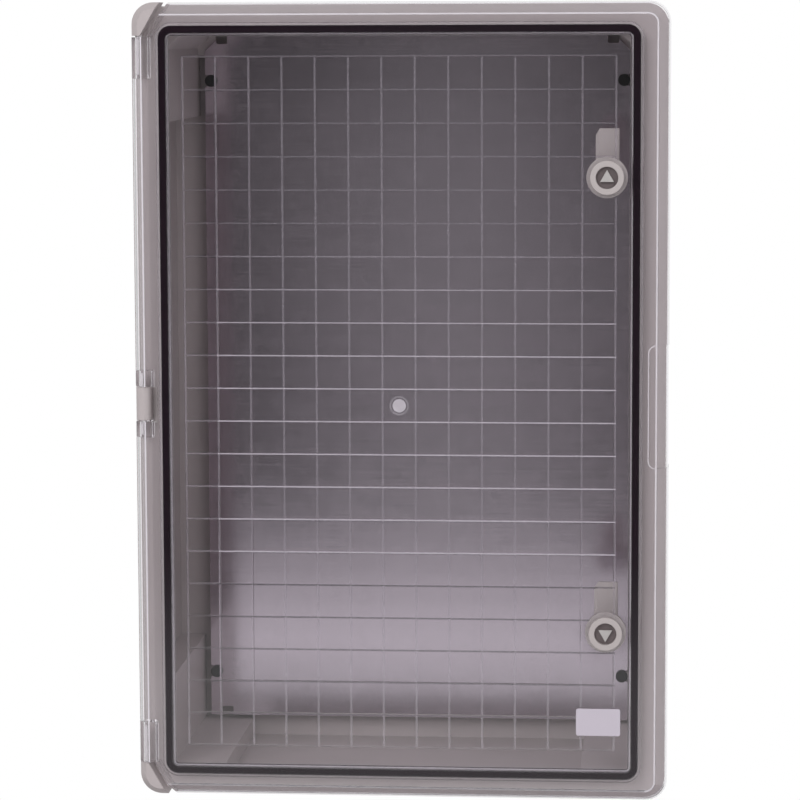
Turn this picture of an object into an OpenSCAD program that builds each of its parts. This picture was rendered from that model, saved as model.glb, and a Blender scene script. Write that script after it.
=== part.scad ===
// Wall cabinet of moulded ABS with a clear hinged door and a metal mounting plate.
// Millimetres. X runs to the right seen from the front, Y runs into the wall, Z runs up.
// The origin is the centre of the back face, which lies on the wall.

/* [Body] */
// Width of the base box
body_w = 400; // [300:5:600]
// Height of the base box
body_h = 600; // [450:5:900]
// Depth from the wall to the front of the door
depth = 200; // [150:5:300]
// Thickness of the side walls, the flange and the pocket walls
wall = 3; // [2.5:0.1:4]
// Thickness of the back wall
back_t = 3.5; // [3:0.1:5]
// Outer corner radius of the base box
corner_r = 15; // [8:0.5:20]
// Length of the thick corner zone along each side wall
zone_side = 84; // [50:1:110]
// Length of the thick corner zone along each end wall
zone_end = 60; // [40:1:80]
// Cut across the inner corner of each upper corner zone
zone_cut = 14; // [6:1:20]

/* [Seal] */
// Distance of the seal's centreline from the box edge at the sides
seal_in_x = 22; // [18:0.5:30]
// Distance of the seal's centreline from the box edge at the ends
seal_in_z = 17.3; // [15:0.1:28]
// Width of the foam gasket
gasket_w = 5.8; // [4:0.1:7]
// Depth of the closed gasket
gasket_d = 5; // [4:0.1:6]
// Thickness of the lip that presses into the gasket
lip_t = 2.4; // [1.8:0.1:3]
// Gap kept between the gasket and the lip
lip_gap = 0.3; // [0.2:0.05:0.6]
// Thickness of the two ribs that hold the gasket
rib_t = 1.8; // [1.2:0.1:2.5]
// Height of the two ribs that hold the gasket
rib_h = 3.5; // [2:0.1:4]

/* [Door] */
// Thickness of the door pane
pane_t = 3; // [2.5:0.1:4]
// Thickness of the door skirt
skirt_t = 2.4; // [2:0.1:3]
// Gap between the skirt and the box
skirt_gap = 0.6; // [0.4:0.1:1]
// Depth of the door from its front to the end of the skirt
door_d = 28; // [24:1:40]
// Width of the sloped band around the door
bevel_w = 9; // [6:0.5:12]
// Depth of the sloped band around the door
bevel_d = 12; // [8:0.5:14]
// Corner radius of the ridge at the front of the sloped band
ridge_r = 7.5; // [4:0.5:12]
// Half height of the finger grip on the free edge
grip_half = 46.4; // [20:0.2:60]
// Width of the finger grip inwards from the door edge
grip_w = 15.5; // [12:0.5:20]
// Depth of the finger grip
grip_d = 1; // [0.5:0.1:1.2]

/* [Hinge] */
// Set-back of the hinge edge from the overhang of the other edges
hinge_in = 1.5; // [0:0.1:2]
// Outer radius of the door knuckles
knuckle_r = 6; // [5:0.1:6.5]
// Distance of the hinge axis behind the door front
axis_in = 8; // [7.5:0.1:9]
// Radius of the hinge pins
pin_r = 2; // [1.5:0.1:2.5]
// Running clearance around each pin
pin_fit = 0.05; // [0.03:0.01:0.1]
// Length of each end knuckle of the door
knuckle_len = 31; // [20:1:40]
// Half height of the middle knuckle of the base
mid_half = 12.6; // [10:0.2:16]
// Length of the two door knuckles beside the middle knuckle
mid_door_len = 12; // [8:1:16]
// End gap between neighbouring knuckles
knuckle_gap = 1; // [0.6:0.1:2]
// Height of the hinge block at each hinge corner, measured on the edge
block_h = 25; // [20:0.5:30]
// Width of the hinge block at each hinge corner, measured on the edge
block_w = 21.4; // [16:0.2:26]
// Gap between a hinge block and the cut corner of the door
cut_gap = 5; // [4.5:0.5:7]

/* [Locks] */
// Distance of the locks from the free edge of the box
lock_in_x = 44; // [40:0.5:60]
// Distance of the locks from the ends of the box
lock_in_z = 128; // [110:1:200]
// Outer diameter of the lock bezel
bezel_d = 25.5; // [22:0.5:30]
// Height of the bezel in front of its seal
bezel_h = 4.2; // [3:0.1:6]
// Diameter of the key recess
recess_d = 16.5; // [14:0.5:18]
// Side length of the triangular key drive
key_side = 10.4; // [8:0.2:11]
// Diameter of the lock shank through the door
shank_d = 20; // [18:0.5:21]
// Diameter of the nut behind the door
nut_d = 31; // [26:0.5:32]
// Thickness of the nut behind the door
nut_t = 6.5; // [4:0.5:7]
// Width of the cam
cam_w = 18; // [14:0.5:20]
// Reach of the cam from the lock axis
cam_len = 36; // [30:0.5:37]
// Thickness of the cam
cam_t = 3; // [2:0.2:4]
// Gap between the locked cam and the flange
cam_gap = 0.6; // [0.4:0.1:1]

/* [Mounting plate] */
// Gap from the box edge to the plate at the sides
plate_in_x = 29; // [27:0.5:40]
// Gap from the box edge to the plate at the ends
plate_in_z = 22; // [21:0.5:40]
// Thickness of the plate
plate_t = 2; // [1.5:0.1:3]
// Distance of the plate's back from the wall
plate_y = 14.5; // [12:0.5:40]
// Cut across each upper plate corner
plate_cut = 13; // [8:1:20]
// Distance of the side notches from the plate's ends
side_notch_z = 36.5; // [30:0.5:60]
// Distance of the end notches from the plate's sides
end_notch_x = 13.7; // [13:0.1:30]
// Width of the end notches
end_notch_w = 9; // [6:0.5:12]
// Depth of the end notches
end_notch_d = 7; // [4:0.5:10]
// Diameter of the plate screw heads
screw_head_d = 9.6; // [8:0.2:12]
// Diameter of the plate screw shanks
screw_d = 4; // [3:0.5:5]

/* [Wall fixing] */
// Distance between the wall holes across the cabinet
hole_dx = 300; // [200:5:480]
// Distance between the wall holes up the cabinet
hole_dz = 500; // [300:5:780]
// Diameter of the wall holes
hole_d = 8; // [6:0.5:10]

/* [Hidden] */
// Facets used for a preview of the round shapes
$fn = 64;
// Overlap of joined solids and overrun of small cuts
e = 1;
// Overlap where two cuts meet on one face
lap = 0.05;
// Overrun of the large cuts
far = 20;
// Half width and half height of the box
bx = body_w / 2;
bz = body_h / 2;
// Front of the door, back of the pane, end of the skirt
front = -depth;
pane_back = front + pane_t;
skirt_end = front + door_d;
// Overhang of the door past the box
over = skirt_t + skirt_gap;
// Half size of the door outline and its outer corner radius
dx = bx + over;
dz = bz + over;
door_r = ridge_r + bevel_w;
// Corner centres of the door outline
ccx = dx - door_r;
ccz = dz - door_r;
// Sideways thickness of the sloped band, measured along X
band_t = skirt_t * sqrt(bevel_w * bevel_w + bevel_d * bevel_d) / bevel_d;
// Depth at which the inside of the band meets the inside of the skirt
band_end = front + bevel_d * (bevel_w + band_t - skirt_t) / bevel_w;
// Inner radius of the band where it leaves the pane
band_r0 = ridge_r + bevel_w * pane_t / bevel_d - band_t;
// Half sizes of the seal's centreline
sx = bx - seal_in_x;
sz = bz - seal_in_z;
// Free play of the gasket in its channel
gasket_fit = 0.1;
// Radius of the seal's centreline at the corners
seal_r = 7;
// Gap between the knuckles and the flange
flange_gap = 2;
// Tip of the sealing lip, front and back of the flange
lip_tip = pane_back + gasket_d + lip_gap;
flange_front = front + axis_in + knuckle_r + flange_gap;
flange_back = flange_front + wall;
// Half sizes of the mouth of the box
mx = sx - lip_t / 2;
mz = sz - lip_t / 2;
// Corner radius of the mouth of the box
mouth_r = seal_r - lip_t / 2;
// Place of the hinge edge and of the hinge axis
hinge_x = -dx + hinge_in;
ax = hinge_x + knuckle_r;
ay = front + axis_in;
// Free radius around the hinge axis in the box edge
groove_gap = 1.3;
groove_r = axis_in + groove_gap;
// Flat back of the door knuckles: distance behind the axis and inner side beside the axis
heel_d = 5.5;
heel_w = 6.7;
// End of the door's hinge edge and foot of the hinge block
block_z = dz - block_h;
edge_z = block_z - knuckle_gap;
// Nose of the hinge block: its front behind the door front, its slope in depth and width
block_sink = 2;
nose_front = front + block_sink;
nose_d = 7;
nose_w = 5;
// Slope of the hinge block's diagonal: width gained over its height
block_foot = 7.2;
block_x0 = hinge_x + block_foot;
block_x1 = hinge_x + block_w;
block_run = block_x1 - block_x0;
block_slope = block_run / block_h;
// Sideways shift from the block's diagonal to the cut edge of the door
cut_shift = cut_gap * sqrt(block_run * block_run + block_h * block_h) / block_h;
cut_wall = skirt_t * sqrt(block_run * block_run + block_h * block_h) / block_h;
// Half height of the opening in the door for the middle knuckle
mid_gap = 0.8;
mid_open = mid_half + mid_gap;
// Inner end of the opening in the door for the middle knuckle
mid_open_w = 17.5;
mid_open_x = hinge_x + mid_open_w;
// Amount by which the middle knuckle is slimmer than the door's
mid_slim = 0.3;
// Depth to which the end pins enter the hinge blocks
pin_in = 13;
// Length by which the end pins and the middle pin stop short in the door knuckles
end_pin_stop = 3;
mid_pin_stop = 1;
// Clearance of the pins where the base holds them
pin_hold = 0.01;
// Corner radius of the finger grip
grip_r = 5.7;
// Lock axes
lx = bx - lock_in_x;
lz = bz - lock_in_z;
// Clearance of the lock shank in the door
shank_fit = 0.2;
// Thickness of the seal under the bezel
lock_seal_t = 0.8;
// Distance of the seal's edge inside the bezel's edge
lock_seal_in = 0.4;
// Front of the bezel, front and back of the cam
seal_front = front - lock_seal_t;
bezel_front = seal_front - bezel_h;
cam_front = flange_back + cam_gap;
cam_back = cam_front + cam_t;
// Floor of the key recess and front of the spindle's head
recess_floor = front;
head_gap = 0.1;
head_t = 1.2;
head_fit = 0.2;
head_front = recess_floor - head_gap - head_t;
// Distance of the key drive's tip behind the bezel's front
key_sink = 0.8;
// End play of the shank and of the square in front of the cam and the washer
end_play = 0.2;
// Spindle radius, its running clearance and its square end
spindle_r = 6;
spindle_fit = 0.05;
square_w = 8;
square_fit = 0.1;
// Notches in the nut: number, width, depth inwards and depth from the back
notches = 6;
notch_w = 4;
notch_in = 1.5;
notch_d = 3;
// Corner cut from the tip of the cam
cam_cut_w = 3;
cam_cut_h = 5;
// Bevel along one edge of the cam: width and depth
cam_bevel_w = 2.4;
cam_bevel_d = 1.6;
// Cam washer and cam screw
washer_d = 15;
washer_t = 1.2;
cam_head_d = 9;
cam_head_t = 3;
cam_screw_r = 2.2;
cam_screw_len = 12;
// Plate
plate_w = body_w - 2 * plate_in_x;
plate_h = body_h - 2 * plate_in_z;
plate_front = -plate_y - plate_t;
side_notch_in = 5;
nx = plate_w / 2 - side_notch_in;
nz = plate_h / 2 - side_notch_z;
// Clearance of the plate screw in its notch and in its boss
screw_slot = 0.8;
screw_fit = 0.05;
screw_head_t = 3;
screw_end = 2;
boss_d = 12;
// Width of the screw slots where they leave the plate
slot_flare = 10.4;
// Rests behind the cut plate corners: lap under the plate and distance from the end notches
rest_lap = 4;
rest_gap = 0.5;
// Corner radius of the end notches
end_notch_r = 1;
// Bosses around the wall holes
hole_boss_d = 18;
hole_boss_h = 6;

// Names of the sub-parts
// Sub-part to draw

// Rectangle with round corners, from half sizes
module rrect(hx, hz, r) {
  square([2 * hx, 2 * (hz - r)], center = true);
  square([2 * (hx - r), 2 * hz], center = true);
  for (i = [-1, 1], j = [-1, 1]) {
    translate([i * (hx - r), j * (hz - r)])
      circle(r = r);
  }
}

// Flat outline drawn in X and Z, given depth from y0 to y1
module slab(y0, y1) {
  translate([0, y1, 0])
    rotate([90, 0, 0])
      linear_extrude(y1 - y0)
        children();
}

// Frame between two rounded rectangles of the same corner centres
module ring(hx, hz, r, t) {
  difference() {
    rrect(hx + t, hz + t, r + t);
    rrect(hx, hz, r);
  }
}

// Solid with round corners that grows from radius rf at depth yf to radius rb at depth yb
module sloped_block(cx, cz, rf, rb, yf, yb) {
  for (i = [-1, 1], j = [-1, 1]) {
    translate([i * cx, yb, j * cz])
      rotate([90, 0, 0])
        cylinder(h = yb - yf, r1 = rb, r2 = rf);
  }
  linear_extrude(2 * cz, center = true)
    polygon([[-cx - rb, yb], [cx + rb, yb], [cx + rf, yf], [-cx - rf, yf]]);
  rotate([0, 90, 0])
    linear_extrude(2 * cx, center = true)
      polygon([[-cz - rb, yb], [cz + rb, yb], [cz + rf, yf], [-cz - rf, yf]]);
}

// Round bar along the depth at x, z
module bar(x, z, r, y0, y1) {
  translate([x, y1, z])
    rotate([90, 0, 0])
      cylinder(h = y1 - y0, r = r);
}

// Round bar along the hinge axis
module axis_bar(r, z0, z1) {
  translate([ax, ay, z0])
    cylinder(h = z1 - z0, r = r);
}

// Draws its children in all four corners, from a corner drawn at plus X and plus Z
module four() {
  children();
  mirror([1, 0, 0])
    children();
  mirror([0, 0, 1])
    children();
  mirror([1, 0, 0])
    mirror([0, 0, 1])
      children();
}

// Draws its children at plus X and mirrored at minus X
module both_sides() {
  children();
  mirror([1, 0, 0])
    children();
}

// Draws its children at the top and mirrored at the bottom
module both_ends() {
  children();
  mirror([0, 0, 1])
    children();
}

// Outline of one thick corner zone, kept t away from its inner faces
module zone_outline(t) {
  x0 = mx + t;
  z0 = mz + t;
  translate([x0, bz - wall - zone_side + t])
    square([bx - wall - x0, zone_side - t]);
  translate([bx - wall - zone_end + t, z0])
    square([zone_end - t, bz - wall - z0]);
}

// Slanted face across the inner corner of an upper zone
module zone_corner() {
  polygon([[mx + e, mz + e], [mx - zone_cut, mz + e], [mx - zone_cut, mz], [mx, mz - zone_cut],
    [mx + e, mz - zone_cut]]);
}

// Rest for one cut upper corner of the mounting plate
module plate_rest() {
  x0 = plate_w / 2 - end_notch_x + end_notch_w / 2 + rest_gap;
  x1 = plate_w / 2;
  z1 = plate_h / 2 - plate_cut - rest_lap;
  slab(-plate_y, -back_t + e)
    polygon([[x0, mz + e], [x0, z1 + x1 - x0], [x1, z1], [mx + e, z1], [mx + e, mz + e]]);
}

// One hinge block at the upper hinge corner
module hinge_block() {
  difference() {
    intersection() {
      translate([hinge_in, 0, 0]) {
        sloped_block(ccx, ccz, door_r - nose_w, door_r, nose_front, nose_front + nose_d);
        slab(nose_front + nose_d, skirt_end)
          rrect(dx, dz, door_r);
      }
      slab(front, skirt_end)
        polygon([[-dx - e, block_z], [block_x0, block_z], [block_x1, dz], [block_x1, dz + e],
          [-dx - e, dz + e]]);
    }
    difference() {
      translate([ax - far, ay - far, block_z - e])
        cube([far, far, block_h + 2 * e]);
      axis_bar(knuckle_r, block_z - 2 * e, dz + 2 * e);
    }
  }
}

// Middle knuckle of the base with the web that carries it
module middle_knuckle() {
  r = knuckle_r - mid_slim;
  axis_bar(r, -mid_half, mid_half);
  translate([ax - r, ay, -mid_half])
    cube([2 * r, flange_front - ay + e, 2 * mid_half]);
}

// Base box with flange, sealing lip, thick corner zones, bosses and hinge blocks
module base_shell() {
  color([0.80, 0.80, 0.79])
    difference() {
      union() {
        difference() {
          union() {
            difference() {
              slab(flange_front, 0)
                rrect(bx, bz, corner_r);
              slab(flange_back, -back_t)
                rrect(bx - wall, bz - wall, corner_r - wall);
              slab(flange_front - e, flange_back + e)
                rrect(mx, mz, mouth_r);
            }
            four()
              slab(flange_back - e, -back_t + e)
                intersection() {
                  zone_outline(0);
                  rrect(bx - wall / 2, bz - wall / 2, corner_r - wall / 2);
                }
            both_sides()
              slab(flange_back - e, -back_t + e)
                zone_corner();
          }
          four()
            slab(flange_back + wall, e)
              intersection() {
                zone_outline(wall);
                rrect(bx - wall, bz - wall, corner_r - wall);
              }
          axis_bar(groove_r, -bz - e, bz + e);
        }
        slab(lip_tip, flange_back)
          ring(mx, mz, mouth_r, lip_t);
        four()
          bar(nx, nz, boss_d / 2, -plate_y, -back_t + e);
        both_sides()
          plate_rest();
        four()
          bar(hole_dx / 2, hole_dz / 2, hole_boss_d / 2, -back_t - hole_boss_h, -back_t + e);
        both_ends()
          hinge_block();
        middle_knuckle();
      }
      four()
        bar(nx, nz, screw_d / 2 + screw_fit, -plate_y - e, -back_t - e);
      four()
        bar(hole_dx / 2, hole_dz / 2, hole_d / 2, -back_t - hole_boss_h - e, e);
      both_ends()
        axis_bar(pin_r + pin_hold, block_z - e, block_z + pin_in);
      axis_bar(pin_r + pin_hold, -mid_half - e, mid_half + e);
    }
}

// Mounting plate with cut upper corners, side notches for its screws and end notches
module mounting_plate() {
  hx = plate_w / 2;
  hz = plate_h / 2;
  color([0.62, 0.63, 0.65])
    slab(plate_front, -plate_y)
      difference() {
        square([plate_w, plate_h], center = true);
        for (i = [-1, 1])
          translate([i * hx, hz])
            rotate(45)
              square(plate_cut * sqrt(2), center = true);
        for (i = [-1, 1], j = [-1, 1]) {
          translate([i * nx, j * nz])
            circle(d = screw_d + screw_slot);
          translate([0, j * nz])
            polygon([[i * nx, -(screw_d + screw_slot) / 2], [i * (hx + lap), -slot_flare / 2],
              [i * (hx + lap), slot_flare / 2], [i * nx, (screw_d + screw_slot) / 2]]);
          translate([i * (hx - end_notch_x), j * hz])
            square([end_notch_w - 2 * end_notch_r, 2 * end_notch_d], center = true);
          translate([i * (hx - end_notch_x), j * hz])
            square([end_notch_w, 2 * (end_notch_d - end_notch_r)], center = true);
          for (k = [-1, 1]) {
            translate([i * (hx - end_notch_x) + k * (end_notch_w / 2 - end_notch_r),
              j * (hz - end_notch_d + end_notch_r)])
              circle(r = end_notch_r);
          }
        }
      }
}

// Four pan-head screws that hold the mounting plate
module plate_screws() {
  color([0.08, 0.08, 0.09])
    four() {
      bar(nx, nz, screw_head_d / 2, plate_front - screw_head_t, plate_front);
      bar(nx, nz, screw_d / 2, plate_front - e, -back_t - screw_end);
    }
}

// Pin between the upper hinge block and the door
module hinge_pin_top() {
  color([0.84, 0.83, 0.84])
    axis_bar(pin_r, edge_z - knuckle_len + end_pin_stop, block_z + pin_in);
}

// Pin between the middle knuckle and the door
module hinge_pin_middle() {
  color([0.84, 0.83, 0.84])
    axis_bar(pin_r, -mid_half - mid_door_len + mid_pin_stop, mid_half + mid_door_len - mid_pin_stop);
}

// Pin between the lower hinge block and the door
module hinge_pin_bottom() {
  color([0.84, 0.83, 0.84])
    axis_bar(pin_r, -block_z - pin_in, -edge_z + knuckle_len - end_pin_stop);
}

// Section of the door's hinge edge in X and Y: a ridge that runs down to the knuckle
module edge_section() {
  translate([ax, ay])
    circle(r = knuckle_r);
  polygon([[ax + bevel_w, front], [ax + bevel_w - knuckle_r, front],
    [ax - 0.54 * knuckle_r, ay - 0.85 * knuckle_r], [ax, ay], [ax + bevel_w, pane_back]]);
}

// Section of a door knuckle: the hinge edge filled up to a flat back
module knuckle_section() {
  difference() {
    union() {
      edge_section();
      polygon([[ax, ay], [ax, front + pane_t / 2], [ax + heel_w, front + pane_t / 2],
        [ax + heel_w, ay + heel_d], [ax, ay + heel_d]]);
    }
    translate([ax - far, ay + heel_d])
      square(2 * far);
  }
}

// Hinge edge of the door: a rounded shell with full knuckles at the pins
module hinge_edge() {
  linear_extrude(2 * edge_z, center = true)
    difference() {
      edge_section();
      translate([ax, ay])
        circle(r = knuckle_r - skirt_t);
      translate([ax - far, ay])
        square(2 * far);
      translate([ax, pane_back])
        square(2 * far);
    }
  both_ends() {
    translate([0, 0, edge_z - knuckle_len])
      linear_extrude(knuckle_len)
        knuckle_section();
    translate([0, 0, mid_open])
      linear_extrude(mid_door_len)
        knuckle_section();
  }
}

// Full outer form of the door before the hinge edge is fitted
module door_form() {
  sloped_block(ccx, ccz, ridge_r, door_r, front, front + bevel_d);
  slab(front + bevel_d, skirt_end)
    rrect(dx, dz, door_r);
}

// Inside of the door between the pane and the end of the skirt
module door_hollow() {
  sloped_block(ccx, ccz, band_r0, door_r - skirt_t, pane_back, band_end);
  slab(band_end - lap, skirt_end + e)
    rrect(dx - skirt_t, dz - skirt_t, door_r - skirt_t);
}

// Area left of the cut corner, shifted by s along X
module corner_area(s) {
  x0 = block_x0 + cut_shift - block_slope * knuckle_gap + s;
  polygon([[-dx - far, edge_z], [x0, edge_z], [x0 + block_slope * 2 * far, edge_z + 2 * far],
    [-dx - far, edge_z + 2 * far]]);
}

// Shallow finger grip in the free edge
module grip_cut() {
  difference() {
    intersection() {
      slab(front - e, skirt_end + e)
        translate([dx - grip_w + far, 0])
          rrect(far, grip_half, grip_r);
      door_form();
    }
    translate([-0.5 * grip_d, grip_d, 0])
      door_form();
  }
}

// Clear door: pane, sloped band, skirt, gasket channel, hinge edge and lock holes
module door_cover() {
  color([0.70, 0.72, 0.74, 0.35])
    difference() {
      union() {
        difference() {
          union() {
            difference() {
              door_form();
              door_hollow();
            }
            both_ends()
              intersection() {
                door_form();
                slab(front, front + bevel_d + e)
                  difference() {
                    corner_area(cut_wall);
                    corner_area(0);
                  }
              }
          }
          translate([-dx - far, front - far, -dz - far])
            cube([far + dx + ax + knuckle_r, door_d + 2 * far, 2 * (dz + far)]);
        }
        hinge_edge();
        slab(pane_back - e, pane_back + rib_h) {
          ring(sx + gasket_w / 2 + gasket_fit, sz + gasket_w / 2 + gasket_fit,
            seal_r + gasket_w / 2 + gasket_fit, rib_t);
          ring(sx - gasket_w / 2 - gasket_fit - rib_t, sz - gasket_w / 2 - gasket_fit - rib_t,
            seal_r - gasket_w / 2 - gasket_fit - rib_t, rib_t);
        }
      }
      both_ends()
        slab(front - far, skirt_end + far)
          corner_area(0);
      translate([-dx - far, front - far, -mid_open])
        cube([far + dx + mid_open_x, door_d + 2 * far, 2 * mid_open]);
      axis_bar(pin_r + pin_fit, -edge_z - e, edge_z + e);
      grip_cut();
      both_ends()
        bar(lx, lz, shank_d / 2 + shank_fit, front - e, pane_back + e);
    }
}

// Foam gasket in the door's channel
module door_gasket() {
  color([0.05, 0.05, 0.06])
    slab(pane_back, pane_back + gasket_d)
      ring(sx - gasket_w / 2, sz - gasket_w / 2, seal_r - gasket_w / 2, gasket_w);
}

// Lock housing: bezel, key recess and threaded shank
module lock_housing(z) {
  color([0.82, 0.82, 0.81])
    difference() {
      union() {
        bar(lx, z, bezel_d / 2, bezel_front, seal_front);
        bar(lx, z, shank_d / 2, seal_front - e, cam_front - end_play);
      }
      bar(lx, z, recess_d / 2, bezel_front - e, recess_floor);
      bar(lx, z, spindle_r + spindle_fit, recess_floor - e, cam_front);
    }
}

// Flat seal between the bezel and the pane
module lock_seal(z) {
  color([0.06, 0.06, 0.06])
    difference() {
      bar(lx, z, bezel_d / 2 - lock_seal_in, seal_front, front);
      bar(lx, z, shank_d / 2, seal_front - e, front + e);
    }
}

// Round nut that clamps the lock from behind
module lock_nut(z) {
  color([0.78, 0.78, 0.77])
    difference() {
      bar(lx, z, nut_d / 2, pane_back, pane_back + nut_t);
      bar(lx, z, shank_d / 2, pane_back - e, pane_back + nut_t + e);
      for (k = [1:notches]) {
        translate([lx, pane_back + nut_t, z])
          rotate([0, (k + 0.5) * 360 / notches, 0])
            translate([nut_d / 2, 0, 0])
              cube([2 * notch_in, 2 * notch_d, notch_w], center = true);
      }
    }
}

// Spindle with a head, a triangular key drive and a square end; point is 1 or -1
module lock_spindle(z, point) {
  color([0.30, 0.29, 0.28])
    difference() {
      union() {
        bar(lx, z, recess_d / 2 - head_fit, head_front, recess_floor - head_gap);
        bar(lx, z, spindle_r, head_front + head_t / 2, cam_front);
        slab(bezel_front + key_sink, head_front + head_t / 2)
          translate([lx, z])
            rotate(point * 90)
              circle(r = key_side / sqrt(3), $fn = 3);
        slab(cam_front - e, cam_back - end_play)
          translate([lx, z])
            square(square_w, center = true);
      }
      bar(lx, z, cam_screw_r, cam_back - cam_screw_len, cam_back + e);
    }
}

// Cam with one cut corner at its tip and one bevelled edge
module cam(z) {
  x0 = lx - cam_w / 2;
  color([0.80, 0.80, 0.78])
    difference() {
      slab(cam_front, cam_back)
        translate([lx, z])
          difference() {
            union() {
              circle(d = cam_w);
              translate([-cam_w / 2, 0])
                square([cam_w, cam_len]);
            }
            square(square_w + square_fit, center = true);
            translate([-cam_w / 2, cam_len])
              polygon([[-e, -cam_cut_h], [0, -cam_cut_h], [cam_cut_w, 0], [cam_cut_w, e], [-e, e]]);
          }
      translate([0, 0, z + nut_d / 2])
        linear_extrude(cam_len)
          polygon([[x0 - cam_bevel_w, cam_front - cam_bevel_d], [x0 + 2 * cam_bevel_w, cam_front - cam_bevel_d],
            [x0 - cam_bevel_w, cam_front + 2 * cam_bevel_d]]);
    }
}

// Washer behind the cam
module cam_washer(z) {
  color([0.70, 0.70, 0.72])
    difference() {
      bar(lx, z, washer_d / 2, cam_back, cam_back + washer_t);
      bar(lx, z, cam_screw_r, cam_back - e, cam_back + washer_t + e);
    }
}

// Screw that holds the cam on the spindle
module cam_screw(z) {
  color([0.66, 0.66, 0.68]) {
    bar(lx, z, cam_head_d / 2, cam_back + washer_t, cam_back + washer_t + cam_head_t);
    bar(lx, z, cam_screw_r, cam_back - cam_screw_len + e, cam_back + washer_t + e);
  }
}

base_shell();
mounting_plate();
plate_screws();
hinge_pin_top();
hinge_pin_middle();
hinge_pin_bottom();
door_cover();
door_gasket();
lock_housing(lz);  // upper_lock_housing
lock_seal(lz);  // upper_lock_seal
lock_nut(lz);  // upper_lock_nut
lock_spindle(lz, 1);  // upper_lock_spindle
cam(lz);  // upper_cam
cam_washer(lz);  // upper_cam_washer
cam_screw(lz);  // upper_cam_screw
lock_housing(-lz);  // lower_lock_housing
lock_seal(-lz);  // lower_lock_seal
lock_nut(-lz);  // lower_lock_nut
lock_spindle(-lz, -1);  // lower_lock_spindle
cam(-lz);  // lower_cam
cam_washer(-lz);  // lower_cam_washer
cam_screw(-lz);  // lower_cam_screw
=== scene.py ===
import functools
import math

import bmesh
import bpy
from bpy.props import FloatProperty, FloatVectorProperty, IntProperty, PointerProperty
from bpy.types import Operator, Panel, PropertyGroup
from mathutils import Matrix, Vector


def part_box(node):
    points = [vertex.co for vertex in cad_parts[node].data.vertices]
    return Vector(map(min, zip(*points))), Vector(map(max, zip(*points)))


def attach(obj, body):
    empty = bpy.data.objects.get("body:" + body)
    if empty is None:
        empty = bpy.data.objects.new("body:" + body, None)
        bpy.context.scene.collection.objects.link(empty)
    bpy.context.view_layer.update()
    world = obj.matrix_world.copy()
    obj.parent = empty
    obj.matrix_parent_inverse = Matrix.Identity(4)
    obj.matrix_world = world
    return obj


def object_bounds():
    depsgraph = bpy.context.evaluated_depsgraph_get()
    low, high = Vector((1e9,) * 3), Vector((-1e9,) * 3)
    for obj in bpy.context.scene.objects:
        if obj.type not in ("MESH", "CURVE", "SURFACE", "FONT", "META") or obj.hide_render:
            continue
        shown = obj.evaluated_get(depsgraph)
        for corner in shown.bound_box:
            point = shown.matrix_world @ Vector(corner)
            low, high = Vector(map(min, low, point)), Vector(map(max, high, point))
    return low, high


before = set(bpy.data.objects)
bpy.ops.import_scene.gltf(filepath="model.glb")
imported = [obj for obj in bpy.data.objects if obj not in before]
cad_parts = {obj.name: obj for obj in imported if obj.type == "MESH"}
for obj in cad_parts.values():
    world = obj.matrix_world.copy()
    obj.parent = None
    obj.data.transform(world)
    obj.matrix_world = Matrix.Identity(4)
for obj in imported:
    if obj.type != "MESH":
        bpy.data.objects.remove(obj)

bl_info = {
    "name": "Electrical Cabinet",
    "version": (1, 0, 0),
    "blender": (4, 5, 0),
    "location": "View3D > Sidebar > Cabinet",
    "description": "Dresses a moulded wall cabinet with a clear door",
    "category": "Object",
}

# Places and lengths of the solids, in metres

CAD_BOX = [list(corner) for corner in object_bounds()]
DOOR_FRONT_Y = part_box("door_cover")[0].y
PANE_BACK_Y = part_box("door_gasket")[0].y
HEAD_FRONT_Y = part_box("upper_lock_spindle")[0].y
KEY_DEPTH = 0.0014
GASKET_WIDTH = 0.0058
RIB_FIT = 0.0001
RIB_HEIGHT = 0.0035
SEAL_RADIUS = 0.007
BAND_WIDTH = 0.009
RIDGE_RADIUS = 0.0075
RIDGE_LEFT = -0.1795
HINGE_EDGE_X = -0.1925
EDGE_HALF = 0.277
MIDDLE_HALF = 0.0134
GRIP_LEFT = 0.1875
GRIP_HALF = 0.0464
GRIP_RADIUS = 0.0057
GRIP_DEPTH = 0.001

# Places and lengths of the finishes, in metres

HAIR = 0.00002
HINGE_LINE_X = -0.1930
RING_HALF = 0.0006
BOW_LEVEL = -0.215
# Heights between which the level lines carry painted shade instead of a painted highlight
SHADE_TOP = -0.13
SHADE_BOTTOM = -0.22
# Heights at which the painted highlights on the door change their density
FADE_STEPS = (("Low", -0.160, -0.112), ("High", -0.090, 0.0), ("Top", 0.0, 0.145))

# Other values

LOCK_SIDES = ("upper", "lower")
HINGE_SLOPE = 0.47
STREAK_STRETCH = (14.0, 300.0, 520.0)
PANE_IOR = 1.58
PANE_SHADOW = (0.955, 0.95, 0.955)
SHARP_ANGLE = math.radians(40)


# Settings


def color_setting(label, text, default):
    return FloatVectorProperty(
        name=label, description=text, subtype="COLOR", size=3, min=0, max=1, default=default)


def length_setting(label, text, default):
    return FloatProperty(
        name=label, description=text, subtype="DISTANCE", unit="LENGTH", default=default)


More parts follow.
